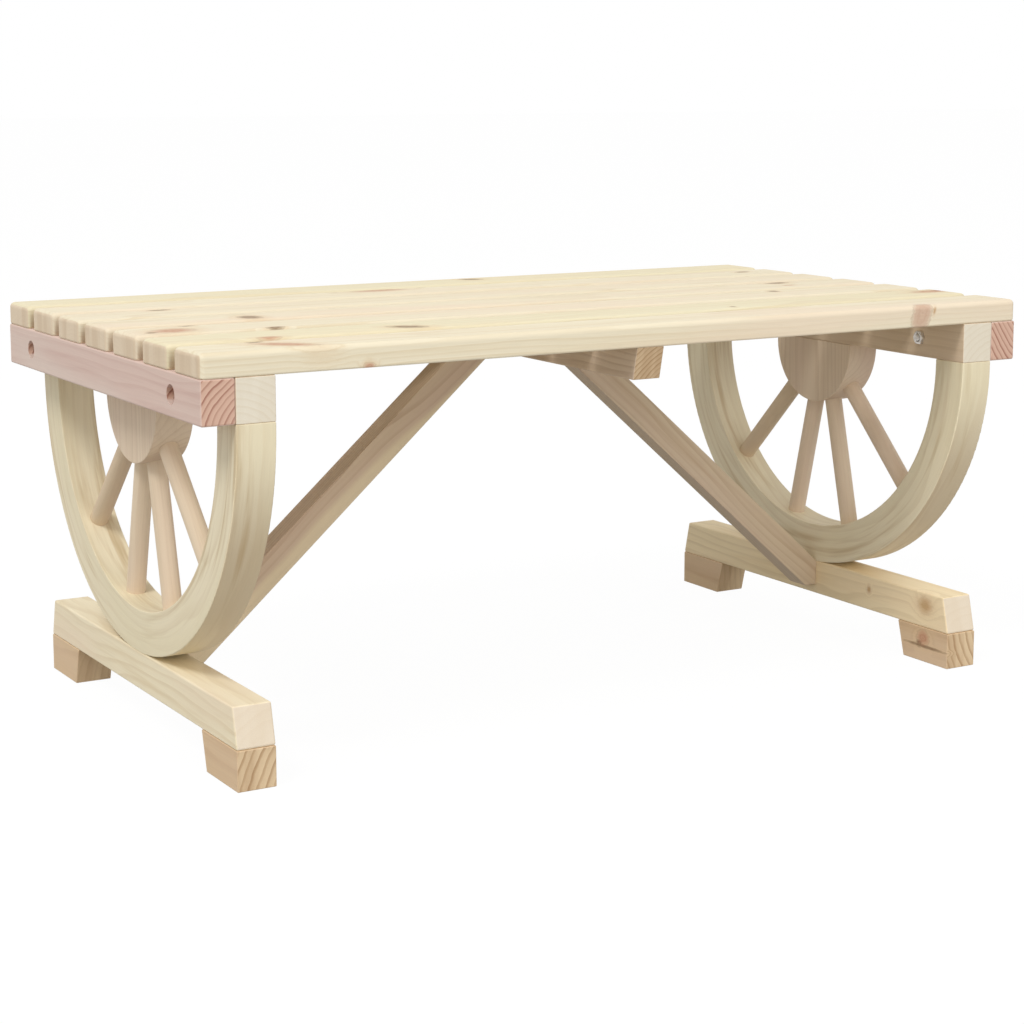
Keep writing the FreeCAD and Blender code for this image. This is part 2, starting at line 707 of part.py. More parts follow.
os.makedirs("parts", exist_ok=True)
for node in nodes:
    node.Shape.exportStep(os.path.join("parts", f"{node.Label}.step"))
    print(f"{node.Label}: {len(node.Shape.Solids)} solids, {node.Shape.Volume:.0f} mm3")
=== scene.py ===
import itertools
import math
from collections import namedtuple

import bmesh
import bpy
from mathutils import Matrix, Vector


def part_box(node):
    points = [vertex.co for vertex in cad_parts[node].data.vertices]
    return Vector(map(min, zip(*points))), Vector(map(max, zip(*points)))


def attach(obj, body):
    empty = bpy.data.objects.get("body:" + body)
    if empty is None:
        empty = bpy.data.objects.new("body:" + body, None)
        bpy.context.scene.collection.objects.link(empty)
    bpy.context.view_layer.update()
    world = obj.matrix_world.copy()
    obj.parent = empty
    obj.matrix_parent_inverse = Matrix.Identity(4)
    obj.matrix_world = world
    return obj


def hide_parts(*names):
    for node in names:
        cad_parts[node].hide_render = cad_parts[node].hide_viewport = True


# Looks of a pine coffee table whose ends stand on half wagon wheels. Metres, +Z up, the front at -Y.

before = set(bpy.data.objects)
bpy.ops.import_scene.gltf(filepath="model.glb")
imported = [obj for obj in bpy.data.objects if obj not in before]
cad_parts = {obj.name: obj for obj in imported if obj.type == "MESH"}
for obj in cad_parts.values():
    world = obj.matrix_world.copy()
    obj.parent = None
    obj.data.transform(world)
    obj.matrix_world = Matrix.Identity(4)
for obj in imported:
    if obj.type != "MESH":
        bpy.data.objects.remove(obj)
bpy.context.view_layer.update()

ENDS = {"left": -1, "right": 1}
SIDES = {"front": -1, "back": 1}
ALONG = Vector((1, 0, 0))
ACROSS = Vector((0, 1, 0))
UPRIGHT = Vector((0, 0, 1))
OFF_AXIS = (0, 1, 1)
SLAT_COUNT = 7
SPOKE_ANGLES = (-45, -13.5, 13.5, 45)
BRACE_PITCH = math.radians(41.3)
BRACE_GRAIN_SLIP = {"left": math.radians(2.5), "right": 0}
WHEEL_RISE = 0.0045
RIM_HALF_DEPTH = 0.02


def tone(red, green, blue):
    """A colour from its display values, 0 to 255, as the linear colour that shaders take."""
    linear = []
    for value in (red, green, blue):
        share = value / 255
        linear.append(share / 12.92 if share <= 0.04045 else ((share + 0.055) / 1.055) ** 2.4)
    return (*linear, 1)


class Link:
    """An output of a material's nodes. Arithmetic on values adds Math nodes."""

    def __init__(self, nodes, socket):
        self.nodes = nodes
        self.socket = socket

    def __add__(self, other):
        return self.nodes.math("ADD", self, other)

    def __sub__(self, other):
        return self.nodes.math("SUBTRACT", self, other)

    def __rsub__(self, other):
        return self.nodes.math("SUBTRACT", other, self)

    def __mul__(self, other):
        return self.nodes.math("MULTIPLY", self, other)

    def __truediv__(self, other):
        return self.nodes.math("DIVIDE", self, other)

    __radd__ = __add__
    __rmul__ = __mul__


class Nodes:
    """The node tree of one material or of the world."""

    def __init__(self, owner):
        owner.use_nodes = True
        self.tree = owner.node_tree
        self.tree.nodes.clear()

    def node(self, kind, settings, sockets, output=0):
        """Add a node: its settings, then the values or links of its sockets. Gives one of its outputs."""
        made = self.tree.nodes.new(kind)
        for name, value in settings.items():
            if name == "stops":
                self.set_stops(made.color_ramp, value)
            else:
                setattr(made, name, value)
        for key, value in sockets.items():
            if isinstance(value, Link):
                self.tree.links.new(value.socket, made.inputs[key])
            else:
                made.inputs[key].default_value = value
        if not made.outputs:
            return None
        return Link(self, made.outputs[output])

    @staticmethod
    def set_stops(ramp, stops):
        """Give a ramp its positions and grey levels."""
        ramp.interpolation = "EASE"
        while len(ramp.elements) < len(stops):
            ramp.elements.new(0.5)
        for element, (position, level) in zip(ramp.elements, stops):
            element.position = position
            element.color = (level, level, level, 1)

    def math(self, operation, *values):
        return self.node("ShaderNodeMath", {"operation": operation}, dict(enumerate(values)))

    def vector(self, operation, *values, output="Vector"):
        return self.node("ShaderNodeVectorMath", {"operation": operation}, dict(enumerate(values)), output)

    def blend(self, share, first, second):
        """One colour laid over another by a share. A Mix node's colours are inputs 6 and 7 and output 2."""
        return self.node("ShaderNodeMix", {"data_type": "RGBA"}, {0: share, 6: first, 7: second}, 2)

    def fade(self, value, start, end):
        """0 up to the start, 1 from the end on, smooth between."""
        return self.node("ShaderNodeMapRange", {"interpolation_type": "SMOOTHSTEP"},
                         {"Value": value, "From Min": start, "From Max": end})

    def noise(self, point, noise, output="Fac"):
        """Noise with its own number of features per metre along each axis."""
        scaled = self.vector("MULTIPLY", point, noise.scales)
        return self.node("ShaderNodeTexNoise", {},
                         {"Vector": scaled, "Scale": 1, "Detail": noise.detail, "Roughness": noise.roughness},
                         output)


Noise = namedtuple("Noise", "scales detail roughness", defaults=(2, 0.5))
NOISE_MIDDLE = 0.5
LONG_STREAKS = Noise((2.4, 95, 95), 3, 0.6)
BEAM_STREAKS = Noise((4, 95, 95), 3, 0.6)
RIM_STREAKS = Noise((6, 95, 95), 3, 0.6)

# The colours and the figure of one kind of board. A rim shows no end grain, so it has no end colours.
Look = namedtuple("Look", "early late streak blush ring_gap ring_depth end_early end_late end_depth"
                          " band_depth sway streak_depth streaks sap sap_start",
                  defaults=(None, None, 0, 0.3, 0.022, 0.4, LONG_STREAKS, None, 0))

SLAT_PINE = Look(early=tone(237, 226, 199), late=tone(209, 184, 140), streak=tone(225, 206, 169),
                 blush=tone(238, 218, 193), end_early=tone(230, 211, 184), end_late=tone(212, 188, 158),
                 ring_gap=0.0042, ring_depth=0.34, end_depth=0.2, band_depth=0.6)
YELLOW_SLAT = SLAT_PINE._replace(early=tone(234, 224, 192), blush=tone(236, 221, 185))
PINK_SLAT = SLAT_PINE._replace(early=tone(236, 224, 197), blush=tone(238, 218, 192))
SLAT_LOOKS = (SLAT_PINE, YELLOW_SLAT, SLAT_PINE, PINK_SLAT, PINK_SLAT, SLAT_PINE, YELLOW_SLAT)
RAIL_PINE = Look(early=tone(223, 197, 184), late=tone(192, 152, 138), streak=tone(202, 165, 153),
                 blush=tone(228, 212, 199), end_early=tone(219, 182, 160), end_late=tone(158, 103, 86),
                 ring_gap=0.0056, ring_depth=0.30, end_depth=0.95, sway=0.034, streak_depth=0.5, band_depth=0)
CROSSBAR_PINE = Look(early=tone(221, 199, 170), late=tone(188, 158, 122), streak=tone(200, 172, 138),
                     blush=tone(210, 184, 160), end_early=tone(236, 227, 208), end_late=tone(219, 204, 176),
                     ring_gap=0.0062, ring_depth=0.30, end_depth=0.4, band_depth=0.2)
RIM_PINE = Look(early=tone(241, 229, 199), late=tone(196, 170, 128), streak=tone(201, 177, 136),
                blush=tone(233, 221, 186), ring_gap=0.0085, ring_depth=0.26, sway=0.062, streak_depth=0.8,
                streaks=RIM_STREAKS)
HUB_PINE = Look(early=tone(231, 211, 185), late=tone(194, 166, 134), streak=tone(208, 182, 153),
                blush=tone(227, 202, 181), end_early=tone(216, 192, 166), end_late=tone(198, 170, 140),
                ring_gap=0.0040, ring_depth=0.34, end_depth=0.08, band_depth=0.1)
SPOKE_PINE = Look(early=tone(232, 213, 185), late=tone(204, 176, 142), streak=tone(216, 193, 162),
                  blush=tone(234, 210, 187), end_early=tone(228, 208, 178), end_late=tone(196, 168, 132),
                  ring_gap=0.0036, ring_depth=0.24, end_depth=0.4)
# Painted shade: a darker copy of the spoke pine, for the fourth spoke of each wheel.
SHADED_SPOKE = SPOKE_PINE._replace(early=tone(222, 201, 170), streak=tone(206, 181, 148),
                                 blush=tone(222, 196, 170))
SPOKE_LOOKS = (SPOKE_PINE, SPOKE_PINE, SPOKE_PINE, SHADED_SPOKE)
BEAM_PINE = Look(early=tone(246, 233, 202), late=tone(204, 178, 132), streak=tone(222, 202, 162),
                 blush=tone(243, 223, 195), end_early=tone(236, 221, 198), end_late=tone(226, 207, 179),
                 ring_gap=0.0085, ring_depth=0.34, end_depth=0.3, sway=0.05, streak_depth=0.5,
                 streaks=BEAM_STREAKS)
BEAM_LOOKS = {"left": BEAM_PINE,
              "right": BEAM_PINE._replace(early=tone(251, 232, 193), streak=tone(230, 204, 158),
                                          blush=tone(249, 222, 184))}
FOOT_PINE = Look(early=tone(222, 194, 157), late=tone(186, 148, 108), streak=tone(202, 165, 126),
                 blush=tone(228, 200, 171), end_early=tone(229, 203, 165), end_late=tone(164, 124, 84),
                 ring_gap=0.0078, ring_depth=0.30, end_depth=0.75)
FOOT_LOOKS = {"front": FOOT_PINE, "back": FOOT_PINE._replace(end_depth=0.25)}
BRACE_PINE = Look(early=tone(208, 188, 160), late=tone(168, 136, 104), streak=tone(184, 154, 125),
                  blush=tone(207, 183, 163), end_early=tone(217, 190, 153), end_late=tone(160, 121, 80),
                  ring_gap=0.0044, ring_depth=0.44, end_depth=0.8, sway=0.03, streak_depth=0.55)
# Painted shade: the left brace is darker than the right one. Its deeper rings and pale sapwood strip are its
# own figure.
BRACE_LOOKS = {"left": BRACE_PINE._replace(early=tone(206, 184, 154), late=tone(160, 126, 94),
                                           streak=tone(178, 146, 117), blush=tone(205, 178, 155),
                                           ring_depth=0.6, sap=tone(228, 210, 174), sap_start=0.053),
               "right": BRACE_PINE}
MIDDLE_RAIL_PINE = BRACE_PINE._replace(early=tone(221, 200, 174), blush=tone(217, 192, 173))
DOWEL_BEECH = Look(early=tone(222, 184, 146), late=tone(190, 146, 108), streak=tone(202, 158, 120),
                   blush=tone(226, 192, 158), end_early=tone(206, 166, 128), end_late=tone(176, 132, 96),
                   ring_gap=0.0030, ring_depth=0.3, end_depth=0.4)

# How grain is drawn: noises, the edges of fades, and how deep each mark goes.
SEED_STEPS = (3.7, 0.31, 0.17)
WANDER = Noise((2.6, 8, 8))
RIPPLE = Noise((9, 60, 60))
RIPPLE_DEPTH = 0.55
LATE_WOOD = ((0.0, 0.0), (0.5, 0.14), (0.8, 0.85), (0.9, 1.0), (1.0, 0.0))
LEAST_LATE_WOOD = 0.45
STREAK_EDGES = (0.48, 0.74)
CLOUDS = Noise((3.2, 16, 16))
CLOUD_EDGES = (0.42, 0.7)
CLOUD_DEPTH = 0.6
SAP_EDGE = 0.004
SAP_DEPTH = 0.7
END_EDGES = (0.72, 0.9)
END_BANDS = Noise((1, 60, 8))
END_BAND_EDGES = (0.4, 0.62)
FIBRE = Noise((34, 1500, 1500), 3, 0.65)
FIBRE_TONE = 0.16
FIBRE_HEIGHT = 0.5
LATE_WOOD_HEIGHT = 0.35
STREAK_HEIGHT = 0.4
GRAIN_BUMP = 0.22
GRAIN_RELIEF = 0.0006
PINE_ROUGHNESS = 0.66
FIBRE_ROUGHNESS = 0.2
LATE_WOOD_GLOSS = 0.08
PINE_SPECULAR = 0.3

# Painted shade: a rim is darker on its outer edge where it faces down, between its foot and its ends, and
# slats are darker low down in the gaps between them.
RIM_PAINTED_SHADE = tone(170, 140, 102)
RIM_SHADE_DEPTH = 0.47
RIM_SHADE_FACING = (0.4, 0.8)
RIM_SHADE_FROM = (math.radians(10), math.radians(48))
RIM_SHADE_UNTIL = (math.radians(60), math.radians(87))
# Painted shade low down on the sides of the slats, in the gaps between them.
GAP_PAINTED_SHADE = tone(150, 122, 92)
GAP_SHADE_DEPTH = 0.62
GAP_FACING = (0.75, 1)
GAP_HEIGHTS = (-0.009, 0.009)

KnotKind = namedtuple("KnotKind", "colour core rim depth rings bark")
KNOT_KINDS = {
    "dark": KnotKind(tone(116, 82, 52), core=0.5, rim=1.1, depth=0.8, rings=0.3, bark=0.3),
    "red": KnotKind(tone(188, 126, 98), core=0.4, rim=1.15, depth=0.76, rings=0.3, bark=0.18),
    "brown": KnotKind(tone(186, 140, 86), core=0.2, rim=1.35, depth=0.72, rings=0.12, bark=0.06),
    "patch": KnotKind(tone(199, 160, 135), core=0.6, rim=1.15, depth=0.8, rings=0.2, bark=0.2),
}
RAGGED = Noise((160, 420, 420), 3, 0.6)
RAGGED_DEPTH = 0.7
KNOT_BEND = 1.6
KNOT_BEND_EDGES = (0.4, 2.6)
KNOT_HALO = tone(224, 195, 155)
KNOT_HALO_EDGES = (0.9, 2.2)
KNOT_HALO_DEPTH = 0.38
KNOT_RING_GAP = 0.2
KNOT_BARK = tone(128, 88, 60)
KNOT_BARK_INSIDE = (0.85, 1)
KNOT_BARK_OUTSIDE = (1, 1.15)

# Knots and piths are placed from the middle of their piece: knots along the grain, across it and up,
# piths along X, Y and Z. A rim's pith is placed round the wheel, out from its middle line and across.
Knot = namedtuple("Knot", "kind x y z length width depth turn lean", defaults=(0, 0))
SLAT_KNOTS = {
    1: [Knot("red", -0.361, -0.004, 0.011, 0.030, 0.011, 0.014, turn=-38),
        Knot("dark", -0.378, 0.024, 0.011, 0.008, 0.006, 0.012),
        Knot("patch", 0.326, -0.031, 0.003, 0.012, 0.012, 0.026, lean=17),
        Knot("brown", 0.342, -0.030, 0.005, 0.0015, 0.003, 0.004, lean=17),
        Knot("red", -0.293, -0.030, -0.010, 0.006, 0.006, 0.004)],
    2: [Knot("dark", -0.207, -0.011, 0.011, 0.019, 0.010, 0.014, turn=-29),
        Knot("red", -0.352, -0.024, 0.011, 0.012, 0.006, 0.012),
        Knot("dark", 0.155, -0.017, 0.011, 0.003, 0.004, 0.010),
        Knot("red", 0.430, 0.006, 0.011, 0.026, 0.011, 0.012),
        Knot("dark", 0.444, 0.008, 0.011, 0.010, 0.006, 0.012)],
    3: [Knot("red", -0.405, -0.006, 0.011, 0.022, 0.016, 0.012, turn=10),
        Knot("dark", -0.428, -0.013, 0.011, 0.006, 0.005, 0.012),
        Knot("dark", -0.380, 0.025, 0.011, 0.008, 0.006, 0.012),
        Knot("dark", -0.313, -0.026, 0.011, 0.009, 0.004, 0.009),
        Knot("dark", 0.287, 0.018, 0.011, 0.006, 0.007, 0.012)],
    4: [Knot("dark", -0.299, -0.010, 0.011, 0.012, 0.014, 0.016),
        Knot("dark", 0.348, 0.020, 0.011, 0.014, 0.009, 0.014),
        Knot("red", 0.344, -0.008, 0.011, 0.009, 0.003, 0.010)],
    5: [Knot("dark", -0.350, 0.023, 0.011, 0.012, 0.008, 0.012)],
    6: [Knot("red", -0.071, 0.019, 0.011, 0.032, 0.010, 0.012),
        Knot("dark", 0.399, 0.006, 0.011, 0.010, 0.006, 0.012)],
    7: [Knot("dark", 0.078, 0.010, 0.011, 0.014, 0.008, 0.012, turn=-25)],
}
BEAM_KNOTS = {"left": [],
              "right": [Knot("brown", -0.203, 0.0185, 0.005, 0.011, 0.008, 0.009),
                        Knot("brown", -0.111, 0.0185, 0.004, 0.003, 0.006, 0.004)]}
FOOT_KNOTS = {"right_front": [Knot("dark", -0.005, 0.0185, -0.0018, 0.034, 0.006, 0.0019),
                              Knot("dark", 0.0045, 0.0185, 0.000, 0.005, 0.006, 0.0045),
                              Knot("red", -0.001, 0.0185, 0.007, 0.010, 0.005, 0.009)]}
SLAT_PITHS = ((0, 0.014, -0.060), (0, -0.020, -0.075), (0, 0.028, -0.052), (0, 0.004, -0.090),
              (0, -0.016, -0.048), (0, 0.022, -0.066), (0, -0.030, -0.080))
RAIL_PITHS = {"left": (0.060, 0, -0.053), "right": (0.060, 0, 0.053)}
CROSSBAR_PITHS = {"left": (-0.020, 0, -0.045), "right": (0.020, 0, -0.045)}
RIM_PITH = (0, -0.050, 0.034)
HUB_PITH = (0.034, 0.012, 0)
SPOKE_PITH = (0.03, 0.01, 0.01)
BEAM_PITH = (0.018, 0, -0.052)
FOOT_PITHS = {"left": (0.113, 0, -0.041), "right": (0.113, 0, 0.041)}
BRACE_PITHS = {"left": (-0.02, 0.03, 0.03), "right": (0.02, 0.03, 0.03)}
MIDDLE_RAIL_PITH = (0.050, 0, -0.050)
DOWEL_PITH = (0, 0.02, 0.01)

# A board's seed moves its noise, so that no two are alike. Slats take their number, and the boards of an
# end count on from its first seed.
Board = namedtuple("Board", "centre grain pith seed")
END_SEEDS = {"left": 21, "right": 51}
MIDDLE_RAIL_SEED = 70
DOWEL_SEED = 71


def knot_distance(nodes, local, ragged, knots):
    """Distance from the nearest of some knots, where 1 is on its rim."""
    nearest = None
    for knot in knots:
        near = nodes.node("ShaderNodeMapping", {"vector_type": "TEXTURE"},
                          {"Vector": local, "Location": (knot.x, knot.y, knot.z),
                           "Rotation": (0, math.radians(knot.lean), math.radians(knot.turn)),
                           "Scale": (knot.length, knot.width, knot.depth)})
        far = nodes.vector("LENGTH", near, output="Value")
        nearest = far if nearest is None else nodes.math("MINIMUM", nearest, far)
    return nearest + ragged


def wheel_angle(nodes, point):
    """The angle round a wheel, from straight down."""
    across, up = [nodes.node("ShaderNodeSeparateXYZ", {}, {"Vector": point}, axis) for axis in "YZ"]
    return nodes.math("ARCTAN2", across, 0 - up)


def wheel_point(nodes, point, radius):
    """Places on a wheel rim as the way round it, the way out from its middle line, and the way across."""
    out = nodes.vector("LENGTH", nodes.vector("MULTIPLY", point, OFF_AXIS), output="Value")
    across = nodes.node("ShaderNodeSeparateXYZ", {}, {"Vector": point}, "X")
    return nodes.node("ShaderNodeCombineXYZ", {},
                      {"X": wheel_angle(nodes, point) * radius, "Y": out - radius, "Z": across})


def rim_shade_share(nodes, point, normal):
    """How much painted shade a rim's outer edge takes where it faces down: 0 at its foot and its ends, 1
    between them.
    """
    outward = nodes.vector("NORMALIZE", nodes.vector("MULTIPLY", point, OFF_AXIS))
    facing = nodes.vector("DOT_PRODUCT", normal, outward, output="Value")
    angle = nodes.math("ABSOLUTE", wheel_angle(nodes, point))
    between = nodes.fade(angle, *RIM_SHADE_FROM) * (1 - nodes.fade(angle, *RIM_SHADE_UNTIL))
    return nodes.fade(facing, *RIM_SHADE_FACING) * between


def gap_painted_shade(nodes, local, normal, sides):
    """The share of painted shade on a slat's side in the gap beside it: 0 on its rounded top edge, 1 at its
    foot.
    """
    across = nodes.vector("DOT_PRODUCT", normal, ACROSS, output="Value")
    facing = across * sides[0] if len(sides) == 1 else nodes.math("ABSOLUTE", across)
    height = nodes.node("ShaderNodeSeparateXYZ", {}, {"Vector": local}, "Z")
    return nodes.fade(facing, *GAP_FACING) * (1 - nodes.fade(height, *GAP_HEIGHTS))


def year_rings(nodes, look, pith, local, sample, around):
    """The distance from the pith, and the dark late wood of each year, bent round the knots."""
    wander = nodes.vector("SUBTRACT", nodes.noise(sample, WANDER, "Color"), (NOISE_MIDDLE,) * 3)
    bent = nodes.vector("MULTIPLY_ADD", wander, (0, look.sway, look.sway), local)
    from_pith = nodes.vector("MULTIPLY_ADD", bent, OFF_AXIS, (0, -pith.y, -pith.z))
    radius = nodes.vector("LENGTH", from_pith, output="Value")
    rings = radius / look.ring_gap + (nodes.noise(sample, RIPPLE) - NOISE_MIDDLE) * RIPPLE_DEPTH
    if around is not None:
        rings = rings + (1 - nodes.fade(around, *KNOT_BEND_EDGES)) * KNOT_BEND
    year = nodes.node("ShaderNodeTexWhiteNoise", {"noise_dimensions": "1D"},
                      {"W": nodes.math("FLOOR", rings)}, "Value")
    late = nodes.node("ShaderNodeValToRGB", {"stops": LATE_WOOD}, {"Fac": nodes.math("FRACT", rings)})
    return radius, late * (LEAST_LATE_WOOD + year * (1 - LEAST_LATE_WOOD))


def side_grain(nodes, look, sample, streaks, radius, late):
    """The colour of a board along its grain."""
    colour = nodes.blend(late * look.ring_depth, look.early, look.late)
    colour = nodes.blend(nodes.fade(streaks, *STREAK_EDGES) * look.streak_depth, colour, look.streak)
    clouds = nodes.fade(nodes.noise(sample, CLOUDS), *CLOUD_EDGES)
    colour = nodes.blend(clouds * CLOUD_DEPTH, colour, look.blush)
    if look.sap:
        sapwood = nodes.fade(radius, look.sap_start, look.sap_start + SAP_EDGE)
        colour = nodes.blend(sapwood * SAP_DEPTH, colour, look.sap)
    return colour


def end_grain(nodes, look, sample, late):
    """The colour of a board's cut ends."""
    colour = nodes.blend(late * look.end_depth, look.end_early, look.end_late)
    bands = nodes.fade(nodes.noise(sample, END_BANDS), *END_BAND_EDGES)
    return nodes.blend(bands * look.band_depth, colour, look.end_late)


def lay_knots(nodes, colour, local, ragged, knots, around):
    """Lay knots over a board's colour: a halo round the branches, then each knot's rings and bark."""
    if around is not None:
        halo = 1 - nodes.fade(around, *KNOT_HALO_EDGES)
        colour = nodes.blend(halo * KNOT_HALO_DEPTH, colour, KNOT_HALO)
    for kind in sorted({knot.kind for knot in knots}):
        mark = KNOT_KINDS[kind]
        near = knot_distance(nodes, local, ragged, [knot for knot in knots if knot.kind == kind])
        inside = (1 - nodes.fade(near, mark.core, mark.rim)) * mark.depth
        growth = nodes.math("PINGPONG", near, KNOT_RING_GAP) / KNOT_RING_GAP
        colour = nodes.blend(inside * (1 - growth * mark.rings), colour, mark.colour)
        bark = nodes.fade(near, *KNOT_BARK_INSIDE) * (1 - nodes.fade(near, *KNOT_BARK_OUTSIDE))
        colour = nodes.blend(bark * mark.bark, colour, KNOT_BARK)
    return colour


def pine(name, look, board, knots=(), rim_radius=None, gap_sides=()):
    """The wood of one piece: rings round its own pith, fibres along its grain, and its knots."""
    material = bpy.data.materials.new(name)
    nodes = Nodes(material)
    point = nodes.node("ShaderNodeTexCoord", {}, {}, "Object")
    normal = nodes.node("ShaderNodeTexCoord", {}, {}, "Normal")
    turn = ALONG.rotation_difference(board.grain)
    place = nodes.node("ShaderNodeMapping", {"vector_type": "TEXTURE"},
                       {"Vector": point, "Location": board.centre, "Rotation": turn.to_euler()})
    local = wheel_point(nodes, place, rim_radius) if rim_radius else place
    sample = nodes.vector("ADD", local, tuple(step * board.seed for step in SEED_STEPS))
    streaks = nodes.noise(sample, look.streaks)
    fibre = nodes.noise(sample, FIBRE) - NOISE_MIDDLE
    ragged = (nodes.noise(sample, RAGGED) - NOISE_MIDDLE) * RAGGED_DEPTH
    branches = [knot for knot in knots if knot.kind != "patch"]
    around = knot_distance(nodes, local, ragged, branches) if branches else None
    pith = turn.inverted() @ Vector(board.pith)
    radius, late = year_rings(nodes, look, pith, local, sample, around)

    colour = side_grain(nodes, look, sample, streaks, radius, late)
    if rim_radius:
        # Painted shade on the rim's outer edge where it faces down.
        colour = nodes.blend(rim_shade_share(nodes, place, normal) * RIM_SHADE_DEPTH, colour, RIM_PAINTED_SHADE)
    else:
        facing = nodes.math("ABSOLUTE", nodes.vector("DOT_PRODUCT", normal, board.grain, output="Value"))
        end = end_grain(nodes, look, sample, late)
        colour = nodes.blend(nodes.fade(facing, *END_EDGES), colour, end)
    # Painted shade on the slats' sides, darker low down in the gaps.
    if gap_sides:
        colour = nodes.blend(gap_painted_shade(nodes, local, normal, gap_sides) * GAP_SHADE_DEPTH, colour, GAP_PAINTED_SHADE)
    colour = lay_knots(nodes, colour, local, ragged, knots, around)
    colour = nodes.node("ShaderNodeHueSaturation", {}, {"Value": 1 + fibre * FIBRE_TONE, "Color": colour})

    height = fibre * FIBRE_HEIGHT + late * LATE_WOOD_HEIGHT + streaks * STREAK_HEIGHT
    bump = nodes.node("ShaderNodeBump", {},
                      {"Strength": GRAIN_BUMP, "Distance": GRAIN_RELIEF, "Height": height})
    roughness = PINE_ROUGHNESS + fibre * FIBRE_ROUGHNESS - late * LATE_WOOD_GLOSS
    shader = nodes.node("ShaderNodeBsdfPrincipled", {},
                        {"Base Color": colour, "Roughness": roughness, "Specular IOR Level": PINE_SPECULAR,
                         "Normal": bump})
    nodes.node("ShaderNodeOutputMaterial", {}, {"Surface": shader})
    return material


ZINC_BRIGHT = tone(230, 226, 221)
ZINC_DULL = tone(206, 203, 199)
ZINC_BLOOM = Noise((420, 420, 420), 3, 0.6)
ZINC_BLOOM_EDGES = (0.35, 0.7)
ZINC_GRAIN = Noise((2600, 2600, 2600))
ZINC_BUMP = 0.12
ZINC_RELIEF = 0.0002
ZINC_ROUGHNESS = 0.4
ZINC_BLOOM_ROUGHNESS = 0.2


def zinc_plate():
    """Bright zinc plating with a faint crystal bloom."""
    material = bpy.data.materials.new("zinc_plate")
    nodes = Nodes(material)
    point = nodes.node("ShaderNodeTexCoord", {}, {}, "Object")
    bloom = nodes.noise(point, ZINC_BLOOM)
    colour = nodes.blend(nodes.fade(bloom, *ZINC_BLOOM_EDGES), ZINC_BRIGHT, ZINC_DULL)
    bump = nodes.node("ShaderNodeBump", {}, {"Strength": ZINC_BUMP, "Distance": ZINC_RELIEF,
                                             "Height": nodes.noise(point, ZINC_GRAIN)})
    roughness = ZINC_ROUGHNESS + bloom * ZINC_BLOOM_ROUGHNESS
    shader = nodes.node("ShaderNodeBsdfPrincipled", {},
                        {"Base Color": colour, "Metallic": 1, "Roughness": roughness, "Normal": bump})
    nodes.node("ShaderNodeOutputMaterial", {}, {"Surface": shader})
    return material


def dress(node, material):
    """Put a material on a CAD piece."""
    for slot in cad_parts[node].material_slots:
        slot.material = material


def middle(node):
    """The middle of a CAD piece's box."""
    low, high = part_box(node)
    return (low + high) / 2


def dress_top():
    """Seven slats, each from a board of its own."""
    for number in range(1, SLAT_COUNT + 1):
        node = f"top_slat_{number}"
        board = Board(middle(node), ALONG, SLAT_PITHS[number - 1], number)
        gap_sides = [side for side in SIDES.values() if 1 <= number + side <= SLAT_COUNT]
        dress(node, pine(node, SLAT_LOOKS[number - 1], board, SLAT_KNOTS[number], gap_sides=gap_sides))


def dress_end(end):
    """One end of the table: rails, half wheel, base beam, feet and brace."""
    seeds = itertools.count(END_SEEDS[end])

    def lay(part, look, grain, pith, knots=()):
        node = f"{end}_{part}"
        dress(node, pine(node, look, Board(middle(node), grain, pith, next(seeds)), knots))

    lay("end_rail", RAIL_PINE, ACROSS, RAIL_PITHS[end])
    lay("crossbar", CROSSBAR_PINE, ACROSS, CROSSBAR_PITHS[end])
    low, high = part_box(f"{end}_wheel_rim")
    hub_point = Vector(((low.x + high.x) / 2, (low.y + high.y) / 2, high.z - WHEEL_RISE))
    rim = Board(hub_point, ALONG, RIM_PITH, next(seeds))
    rim_radius = (high.y - low.y) / 2 - RIM_HALF_DEPTH
    dress(f"{end}_wheel_rim", pine(f"{end}_wheel_rim", RIM_PINE, rim, rim_radius=rim_radius))
    lay("wheel_hub", HUB_PINE, UPRIGHT, HUB_PITH)
    for number, (angle, look) in enumerate(zip(SPOKE_ANGLES, SPOKE_LOOKS), start=1):
        lean = math.radians(angle)
        lay(f"spoke_{number}", look, Vector((0, math.sin(lean), -math.cos(lean))), SPOKE_PITH)
    lay("base_beam", BEAM_LOOKS[end], ACROSS, BEAM_PITH, BEAM_KNOTS[end])
    for side in SIDES:
        knots = FOOT_KNOTS.get(f"{end}_{side}", ())
        lay(f"{side}_foot", FOOT_LOOKS[side], ACROSS, FOOT_PITHS[end], knots)
    pitch = BRACE_PITCH - BRACE_GRAIN_SLIP[end]
    fall = Vector((math.cos(pitch), 0, -ENDS[end] * math.sin(pitch)))
    lay("brace", BRACE_LOOKS[end], fall, BRACE_PITHS[end])


def dress_middle():
    """The middle rail, and the dowels in the feet of the braces."""
    rail = Board(middle("middle_rail"), ACROSS, MIDDLE_RAIL_PITH, MIDDLE_RAIL_SEED)
    dress("middle_rail", pine("middle_rail", MIDDLE_RAIL_PINE, rail))
    dowels = Board(middle("brace_dowels"), ALONG, DOWEL_PITH, DOWEL_SEED)
    dress("brace_dowels", pine("brace_dowels", DOWEL_BEECH, dowels))


# A thread's crest and width are shares of its pitch. A head's profile has shares of the head's radius, and
# heights from its face.
ROUND_STEPS = 36
MERGE_DISTANCE = 1e-7
SHARP_ANGLE = math.radians(32)
THREAD_STEPS = 14
THREAD_CREST = 0.45
THREAD_WIDTH = 0.9
THREAD_SINK = 0.0001

